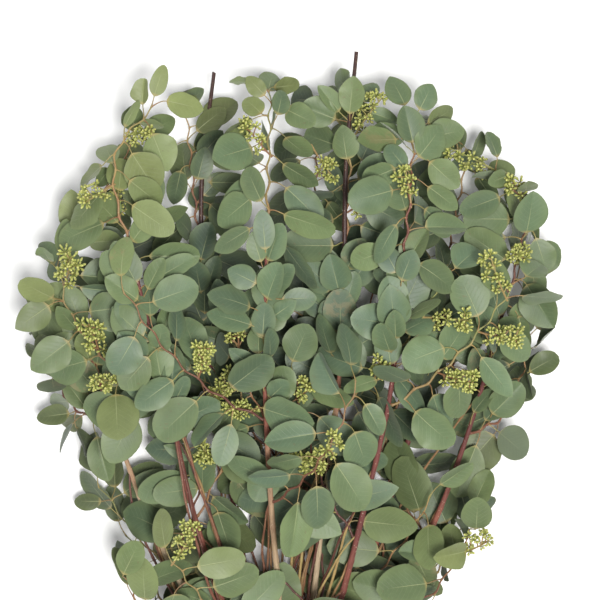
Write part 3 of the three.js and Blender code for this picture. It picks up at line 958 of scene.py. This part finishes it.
def infill(line, number, size, tries):
    """The clear leaf at a twig joint that covers most open ground, or None."""
    root = line[number]
    way = unit(line[min(number + 1, len(line) - 1)] - line[max(number - 1, 0)])
    best, most = None, 0
    for _ in range(tries):
        side = unit(np.cross(way, draws.normal(0, 1, 3)))
        lean = draws.uniform(0.35, 1.0)
        out = unit(side + way * lean)
        up = unit(UP * draws.uniform(0.4, 1.2) + draws.normal(0, 0.5, 3) + out * 0.2)
        if np.dot(up, out) > 0.75:
            continue
        length = size * draws.uniform(0.75, 1.15)
        stalk = draws.uniform(9, 17) * MM
        leaf = new_leaf(root, out, up, stalk, length, length * draws.uniform(0.32, 0.42))
        if not outline.holds(outline_mesh(leaf)[0], STRAY if draws.random() < 0.12 else 0.0):
            continue
        gain = crowd.gain(leaf) + draws.random()
        if gain > max(most, 2) and crowd.is_clear(leaf):
            best, most = leaf, gain
    return best


def over_stem(seat, way):
    """A clear leaf that grows from a stem and lies over it, or None."""
    for _ in range(STEM_LEAF_TRIES):
        out = way * draws.uniform(0.2, 1.2) + UP * draws.uniform(0.2, 0.9)
        out = unit(out + draws.normal(0, 0.55, 3) * [1, 0.3, 0.2])
        up = unit(UP * draws.uniform(0.6, 1.4) + draws.normal(0, 0.45, 3))
        if np.dot(up, out) > 0.8:
            continue
        length = draws.uniform(30, 46) * MM
        stalk = draws.uniform(8, 20) * MM
        leaf = new_leaf(seat, out, up, stalk, length, length * draws.uniform(0.32, 0.42))
        if outline.holds(outline_mesh(leaf)[0]) and crowd.is_clear(leaf):
            return leaf
    return None


stem_lines, stem_leaves = {}, {}
for name, (line, radii) in stems.items():
    stem_lines[name], _ = curve_through(line, np.arange(8) / 8)
    stem_leaves[name] = []
    seats = stem_lines[name]
    for number in range(2, len(seats) - 1):
        if draws.random() > smooth(*BARE_BELOW, seats[number][1]):
            continue
        leaf = over_stem(seats[number], unit(seats[number + 1] - seats[number]))
        if leaf:
            stem_leaves[name].append((number, leaf))
            crowd.add(leaf)

for tries in (TRIES_PER_LEAF, 2 * TRIES_PER_LEAF):
    for name, twig in twigs.items():
        count = len(twig["line"]) - 1
        for number in range(1, count + 1):
            if draws.random() > smooth(*SPARSE_BELOW, twig["line"][number][1]):
                continue
            size = (46 - 18 * (number / count) ** 2) * MM
            leaf = infill(twig["line"], number, size, tries)
            if leaf:
                twig["leaves"].append([number, leaf])
                crowd.add(leaf)

# ---------------------------------------------------------------- more bud clusters

MORE_SPRAYS = 46
SPRAY_SPACING = 26 * MM


def new_spray(root, way):
    """A spray's root and clusters: one at its tip and others in a spiral down its stalk."""
    length = draws.uniform(34, 60) * MM
    side = unit(np.cross(way, draws.normal(0, 1, 3)))
    clusters = [(root + way * length, draws.uniform(5.8, 7) * MM)]
    many = int(length / (5.4 * MM))
    for k in range(many):
        share = 1 - (k + 0.6) / (many + 1.4)
        around = turned(side, way, 2.4 * k)
        half = draws.uniform(5.0, 6.6) * MM
        clusters.append((root + way * length * share + (around + 0.5 * way) * half * 1.3, half))
    return root, clusters


def filled(root, clusters):
    """A CAD spray's clusters with one more between each two, so that they make one dense head of buds."""
    far = max(clusters, key=lambda c: np.linalg.norm(c[0] - root))[0]
    way = unit(far - root)
    ordered = sorted(clusters, key=lambda c: np.dot(c[0] - root, way))
    more = []
    for (low, low_half), (high, high_half) in zip(ordered, ordered[1:]):
        on_stalk = root + way * np.dot((low + high) / 2 - root, way)
        out = on_stalk - (low + high) / 2
        if np.linalg.norm(out) < 2 * MM:
            out = np.cross(way, draws.normal(0, 1, 3))
        half = 0.42 * (low_half + high_half)
        centre = on_stalk + unit(out) * half * 1.35
        if crowd.distance(centre) > 0.5 * half:
            more.append((centre, half))
    return clusters + more


def more_sprays():
    """Sprays at twig joints near the top of the head, clear of the blades and of each other."""
    seats = [point for twig in twigs.values() for point in twig["line"][3:]]
    taken = [centre for _, clusters in sprays.values() for centre, _ in clusters]
    found = []
    for number in draws.permutation(len(seats)):
        seat = seats[number]
        if seat[1] < -0.12 or seat[2] < 0.55 * np.interp(seat[1], outline.places, outline.top):
            continue
        for _ in range(10):
            way = unit(np.array([draws.normal(0, 0.5), draws.uniform(-0.1, 1.0), draws.uniform(0.15, 0.9)]))
            _, clusters = new_spray(seat, way)
            centres = np.array([centre for centre, _ in clusters])
            if not outline.holds(centres, 5 * MM):
                continue
            if np.linalg.norm(np.array(taken)[None] - centres[:, None], axis=2).min() < SPRAY_SPACING:
                continue
            if all(crowd.distance(centre) > 0.62 * half for centre, half in clusters):
                found.append((seat, clusters))
                taken.extend(centres)
                break
        if len(found) == MORE_SPRAYS:
            break
    return found


def nearest_spray(point):
    return min(sprays, key=lambda name: np.linalg.norm(sprays[name][0] - point))


added_sprays = {name: [] for name in sprays}
for root, clusters in more_sprays():
    added_sprays[nearest_spray(root)].append((root, clusters))


# ---------------------------------------------------------------- pieces

LEAF, TWIG, BARK, CUT = leaf_material(), twig_material(), bark_material(), cut_material()
BUD, RUBBER = bud_material(), band_material()

all_stem_points = np.concatenate(list(stem_lines.values()))


def nearest_wood(point):
    return all_stem_points[np.argmin(np.linalg.norm(all_stem_points - point, axis=1))]


def build_stem(name, line, radii):
    """A stem with knuckles and a cut end."""
    number = int(name.split("_")[1])
    points, spans = curve_through(line, np.arange(16) / 16)
    thick = np.interp(spans, np.arange(len(radii)), radii)
    along = np.concatenate([[0], np.cumsum(np.linalg.norm(np.diff(points, axis=0), axis=1))])
    knuckles = np.cumsum(draws.uniform(24, 52, 30)) * MM
    for knuckle in knuckles[(knuckles > 0.07)]:
        thick = thick * (1 + 0.16 * np.exp(-(((along - knuckle) / (2.2 * MM)) ** 2)))
    thick = thick * (1 + 0.03 * np.sin(along * 90 + number))
    shape = Shape("grain", "tone")
    corners, faces, places = tube(points, thick, STEM_SIDES)
    shade = draws.uniform(0.8, 1.15)
    hue = (0.15, 0.62, 0.9, 0.3, 0.75, 0.1, 0.85, 0.45, 0.7)[number - 1]
    tone = tones(np.clip(hue + 0.6 * smooth(0.25, 0.55, along), 0, 1), shade, STEM_SIDES)
    shape.add(corners, faces[:-2], grain=grain_of(places, number * 0.013), tone=tone)
    # the cut end is a disc of three rings, whose grain holds the distance from the middle
    way = unit(points[1] - points[0])
    ring = corners[:STEM_SIDES]
    middle = ring.mean(axis=0)
    disc, held = [ring], [np.full(STEM_SIDES, thick[0])]
    for share in (0.93, 0.5, 0.12):
        disc.append(middle + (ring - middle) * share - way * 0.25 * MM * (1 - share**4))
        held.append(np.full(STEM_SIDES, thick[0] * share))
    disc.append([middle - way * 0.25 * MM])
    held.append([0.0])
    cut_faces = [face[::-1] for face in grid_faces(4, STEM_SIDES, wrap=True)]
    last = 3 * STEM_SIDES
    cut_faces += [[last + (j + 1) % STEM_SIDES, last + j, last + STEM_SIDES] for j in range(STEM_SIDES)]
    held = np.concatenate(held)
    grain = np.column_stack([held, held, held])
    shape.add(np.concatenate(disc), cut_faces, material=1, grain=grain, tone=(0, 1, 0))
    # the other end is closed by a low dome
    tip = corners[-STEM_SIDES:]
    summit = tip.mean(axis=0) + unit(points[-1] - points[-2]) * thick[-1] * 0.6
    cap = [[j, (j + 1) % STEM_SIDES, STEM_SIDES] for j in range(STEM_SIDES)]
    shape.add(np.vstack([tip, summit]), cap, grain=(0, 0, 0), tone=(hue, shade, 0))
    shape.piece(name + "_bark", [BARK, CUT], "bark", name, sharp=60)


def build_shoots(name):
    """Thin bare side shoots that run up beside a stem, from above the band to higher up the same stem."""
    line = stem_lines[name]
    shape = Shape("grain", "tone")
    for number in range(SHOOTS_PER_STEM):
        for _ in range(SHOOT_TRIES):
            low = int(draws.uniform(0.1, 0.3) * len(line))
            high = int(draws.uniform(0.36, 0.95) * len(line))
            sway = unit(draws.normal(0, 1, 3) * [1, 0.1, 0.6]) * draws.uniform(14, 42) * MM
            other = sway * draws.uniform(0.2, 1.4)
            lean = 0.3 * (line[high] - line[low])
            knots = bezier(line[low], line[low] + lean + sway, line[high] - lean + other, line[high], 13)
            knots[1:-1] += draws.normal(0, 0.9 * MM, (13, 3))[1:-1] * [1, 0.2, 1]
            points, _ = curve_through(knots, np.arange(5) / 5)
            inner = points[8:-8]
            if inner[:, 2].min() > 3 * MM and min(crowd.distance(point) for point in inner) > 3 * MM:
                break
        else:
            continue
        share = np.linspace(0, 1, len(points))
        thick = (1.8 - 0.9 * share) * MM * (1 + 0.3 * (np.arange(len(points)) % 5 == 0))
        tone = (draws.uniform(0.25, 0.95), draws.uniform(0.8, 1.3), 0)
        add_tube(shape, points, thick, TWIG_SIDES, number * 0.021, tone)
    if shape.count:
        shape.piece(name + "_shoots", [TWIG], "bark", name, sharp=60)


def build_stub(name, aside):
    """A dead, dark tip that runs on from a stem and stands a little out of the leaves above it."""
    tip = stem_lines[name][-1]
    across = tip[0] + aside
    leaves = [leaf for twig in twigs.values() for _, leaf in twig["leaves"]]
    leaf_corners = np.concatenate([outline_mesh(leaf)[0] for leaf in leaves])
    near = leaf_corners[np.abs(leaf_corners[:, 0] - across) < 10 * MM]
    end = np.array([across, near[:, 1].max() + STUB_REACH, tip[2] + 8 * MM])
    middle = (tip + end) / 2 + np.array([-0.35 * aside, 0, 6 * MM])
    points, spans = curve_through([tip, middle, end], np.arange(12) / 12)
    thick = (2.5 - 0.25 * spans) * MM * (1 + 0.22 * np.exp(-(((spans % 0.4) / 0.05) ** 2)))
    shape = Shape("grain", "tone")
    corners, faces, places = tube(points, thick, TWIG_SIDES)
    corners[-TWIG_SIDES:, 1] += draws.uniform(-1.2, 1.2, TWIG_SIDES) * MM
    shape.add(corners, faces, grain=grain_of(places, 0.4), tone=(1.0, 0.55, 0))
    shape.piece(name + "_stub", [TWIG], "bark", name, sharp=60)


def build_stem_leaves(name):
    """The leaves that grow on a stem itself, and their stalks."""
    line = stem_lines[name]
    wood, blades = Shape("grain", "tone"), Shape("blade", "share", "tone")
    for seat, leaf in stem_leaves[name]:
        add_stalk(wood, leaf, unit(line[seat + 1] - line[seat]), draws.uniform(0.15, 0.5))
        add_blade(blades, leaf)
    if blades.count:
        wood.piece(name + "_stalks", [TWIG], "bark", name, sharp=60)
        blades.piece(name + "_leaves", [LEAF], "leaf", name, sharp=100)


def build_twig(name, line, leaves):
    """A knuckled, zigzag twig with its leaf stalks, and its blades as a second piece."""
    number = int(name.split("_")[2])
    hue = draws.uniform(0.35, 0.95)
    root = nearest_wood(line[0])
    points, spans = curve_through(np.vstack([root, line]), (0, 0.07, 0.16, 0.34, 0.5, 0.66, 0.84, 0.93))
    share = spans / (len(line))
    thick = (1.4 - 0.75 * share) * MM
    off = np.abs(spans - np.round(spans))
    thick = thick * (1 + KNUCKLE * np.exp(-((off / 0.09) ** 2)) * (spans > 0.5))
    wood = Shape("grain", "tone")
    tone = tones(np.clip(hue - 0.45 * share**1.5, 0.05, 1), draws.uniform(0.8, 1.2), TWIG_SIDES)
    add_tube(wood, points, thick, TWIG_SIDES, number * 0.017, tone)
    blades = Shape("blade", "share", "tone")
    for seat, leaf in leaves:
        way = unit(line[min(seat + 1, len(line) - 1)] - line[max(seat - 1, 0)])
        add_stalk(wood, leaf, way, draws.uniform(0.15, 0.5))
        add_blade(blades, leaf)
    wood.piece(f"twig_{number:02d}_wood", [TWIG], "bark", name, sharp=60)
    blades.piece(f"twig_{number:02d}_leaves", [LEAF], "leaf", name, sharp=100)


def add_bud(shape, root, way, length, girth, tone):
    """A bud on its own short stalk: a club with a pointed cap."""
    shares = np.array([s for s, _ in BUD_PROFILE])
    radii = np.array([r for _, r in BUD_PROFILE]) * MM * girth
    points = root + np.outer(shares * length, way)
    sides = 7
    corners, faces, places = tube(points, radii, sides)
    tip = root + way * length
    corners = np.vstack([corners, tip])
    last = (len(points) - 1) * sides
    faces = faces[:-1] + [[last + j, last + (j + 1) % sides, len(corners) - 1] for j in range(sides)]
    along = np.append(places[:, 0] / length, 1.0)
    grain = np.column_stack([along, along, along])
    shape.add(corners, faces, grain=grain, tone=tone)


def add_spray(stalks, buds, number, root, clusters):
    """Adds a spray: a stalk, a side stalk to each cluster, and the cluster's single buds."""
    far = max(clusters, key=lambda c: np.linalg.norm(c[0] - root))
    axis = unit(far[0] - root)
    length = np.linalg.norm(far[0] - root)
    bend = unit(np.cross(axis, UP)) * draws.uniform(-0.06, 0.06) * length
    start = root - axis * 3 * MM
    line = bezier(start, root + axis * length * 0.35 + bend, root + axis * length * 0.65 + bend, far[0], 15)
    thick = np.linspace(1.05, 0.6, len(line)) * MM
    hue = draws.uniform(0.1, 0.55)
    tone = tones(hue - 0.12 * np.linspace(0, 1, len(line)), 1.1, 8)
    add_tube(stalks, line, thick, 8, number * 0.019, tone)
    for centre, half in clusters:
        along = np.clip(np.dot(centre - root, axis) / length, 0.05, 1)
        seat = line[int(round(np.clip(along - 0.12, 0, 1) * (len(line) - 1)))]
        out = unit(centre - seat)
        hub = centre - out * half * 0.35
        if np.linalg.norm(hub - seat) > 1.5 * MM:
            side = bezier(seat, seat + axis * 2 * MM + out * MM, hub - out * 2 * MM, hub, 6)
            add_tube(stalks, side, np.linspace(0.75, 0.6, 6) * MM, 6, number * 0.01, (hue - 0.1, 1.1, 0))
        count = draws.integers(*BUDS_PER_UMBEL)
        turn = draws.uniform(0, 2 * math.pi)
        across = unit(np.cross(out, [0.3, 0.5, 0.81]))
        for k in range(count):
            polar = math.acos(1 - 1.45 * (k + 0.35) / count) + draws.normal(0, 0.08)
            around = turned(across, out, turn + k * 2.4 + draws.normal(0, 0.12))
            way = unit(out * math.cos(polar) + around * math.sin(polar))
            size = draws.uniform(0.85, 1.15) * half * 1.1
            tone = (draws.uniform(0, 0.55), draws.uniform(0.85, 1.2), 0)
            if (hub + way * size)[2] < 0.5 * MM:
                continue
            add_bud(buds, hub, way, size, draws.uniform(0.95, 1.2), tone)


def build_spray(name, root, clusters):
    """The spray of a CAD node, with the smaller ones that grow near it."""
    number = int(name.split("_")[2])
    stalks = Shape("grain", "tone")
    buds = Shape("grain", "tone")
    add_spray(stalks, buds, number, root, filled(root, clusters))
    for more_root, more_clusters in added_sprays[name]:
        add_spray(stalks, buds, number, more_root, more_clusters)
    stalks.piece(f"spray_{number:02d}_stalks", [TWIG], "bud", name, sharp=60)
    buds.piece(f"spray_{number:02d}_buds", [BUD], "bud", name, sharp=60)


def build_band():
    """A rubber band wound several times, each turn a closed strand that wanders a little."""
    low, high = (np.array(corner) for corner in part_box("rubber_band"))
    middle = (low + high) / 2
    inner = (high[0] - low[0]) / 2 - 1.6 * MM
    shape = Shape("tone")
    sides, rings = 8, 96
    around = np.arange(rings) * 2 * math.pi / rings
    for turn in range(BAND_TURNS):
        home = (turn - (BAND_TURNS - 1) / 2) * 1.62 * MM
        wander = 0.5 * MM * np.sin(around + turn * 1.9) * (1 if turn % 2 else -1)
        lift = inner + BAND_STRAND[1] + 0.05 * MM + 0.1 * MM * (turn % 2)
        corners = []
        for angle, shift in zip(around, wander):
            spoke = np.array([math.cos(angle), 0, math.sin(angle)])
            for side in range(sides):
                tilt = 2 * math.pi * side / sides
                across, out = np.cos(tilt), np.sin(tilt)
                across = np.sign(across) * abs(across) ** 0.6 * BAND_STRAND[0]
                out = np.sign(out) * abs(out) ** 0.6 * BAND_STRAND[1]
                corners.append(middle + spoke * (lift + out) + np.array([0, home + shift + across, 0]))
        faces = []
        for i in range(rings):
            for j in range(sides):
                a, b = i * sides + j, i * sides + (j + 1) % sides
                c, d = (a + sides) % (rings * sides), (b + sides) % (rings * sides)
                faces.append([a, b, d, c])
        shape.add(corners, faces, tone=(0, 1, 0))
    shape.piece("rubber_band_turns", [RUBBER], "band", "rubber_band", sharp=60)


for name, (line, radii) in stems.items():
    build_stem(name, line, radii)
    build_shoots(name)
    build_stem_leaves(name)
for name, aside in STUBS.items():
    build_stub(name, aside)
for name, twig in twigs.items():
    build_twig(name, twig["line"], twig["leaves"])
for name, (root, clusters) in sprays.items():
    build_spray(name, root, clusters)
build_band()

# ---------------------------------------------------------------- ground, light and camera


def add_ground():
    mesh = bpy.data.meshes.new("ground")
    ends = ((-1, -1), (1, -1), (1, 1), (-1, 1))
    corners = [(x * FLOOR_REACH, y * FLOOR_REACH, FLOOR_LEVEL) for x, y in ends]
    mesh.from_pydata(corners, [], [(0, 1, 2, 3)])
    mesh.materials.append(floor_material())
    ground = bpy.data.objects.new("ground", mesh)
    bpy.context.scene.collection.objects.link(ground)


def add_light(name, size, power, position, target, colour=(1, 1, 1)):
    light = bpy.data.lights.new(name, "AREA")
    light.shape = "DISK"
    light.size = size
    light.energy = power
    light.color = colour
    made = bpy.data.objects.new(name, light)
    made.location = position
    made.rotation_mode = "QUATERNION"
    made.rotation_quaternion = (Vector(target) - Vector(position)).to_track_quat("-Z", "Y")
    bpy.context.scene.collection.objects.link(made)


def add_world(low, high):
    """A plain studio: bright walls low down and a dimmer ceiling, as shares of full white."""
    world = bpy.data.worlds.new("studio")
    world.use_nodes = True
    tree = world.node_tree
    place = tree.nodes.new("ShaderNodeTexCoord")
    split = tree.nodes.new("ShaderNodeSeparateXYZ")
    ramp = tree.nodes.new("ShaderNodeMapRange")
    ramp.interpolation_type = "SMOOTHSTEP"
    ramp.inputs["From Min"].default_value = 0.3
    ramp.inputs["From Max"].default_value = 0.75
    ramp.inputs["To Min"].default_value = low
    ramp.inputs["To Max"].default_value = high
    background = tree.nodes["Background"]
    tree.links.new(place.outputs["Generated"], split.inputs[0])
    tree.links.new(split.outputs["Z"], ramp.inputs["Value"])
    tree.links.new(ramp.outputs[0], background.inputs["Strength"])
    background.inputs["Color"].default_value = (1, 1, 1, 1)
    bpy.context.scene.world = world


def add_camera():
    distance = VIEW_WIDTH / 2 / (SENSOR / 2 / LENS)
    data = bpy.data.cameras.new("camera")
    data.lens = LENS
    data.sensor_width = SENSOR
    data.clip_start, data.clip_end = 0.01, 50
    camera = bpy.data.objects.new("camera", data)
    camera.location = (*VIEW_CENTRE, VIEW_HEIGHT + distance)
    bpy.context.scene.collection.objects.link(camera)
    bpy.context.scene.camera = camera


add_ground()
add_world(0.85, 0.08)
add_light("key", 0.42, 44, (0.22, -0.05, 1.87), (0, 0.12, 0.05), (1.0, 0.99, 0.97))
add_light("fill", 1.6, 8, (-0.9, 0.6, 1.5), (0, 0.1, 0.05), (0.97, 0.98, 1.0))
add_camera()
bpy.context.scene.view_settings.view_transform = "Standard"
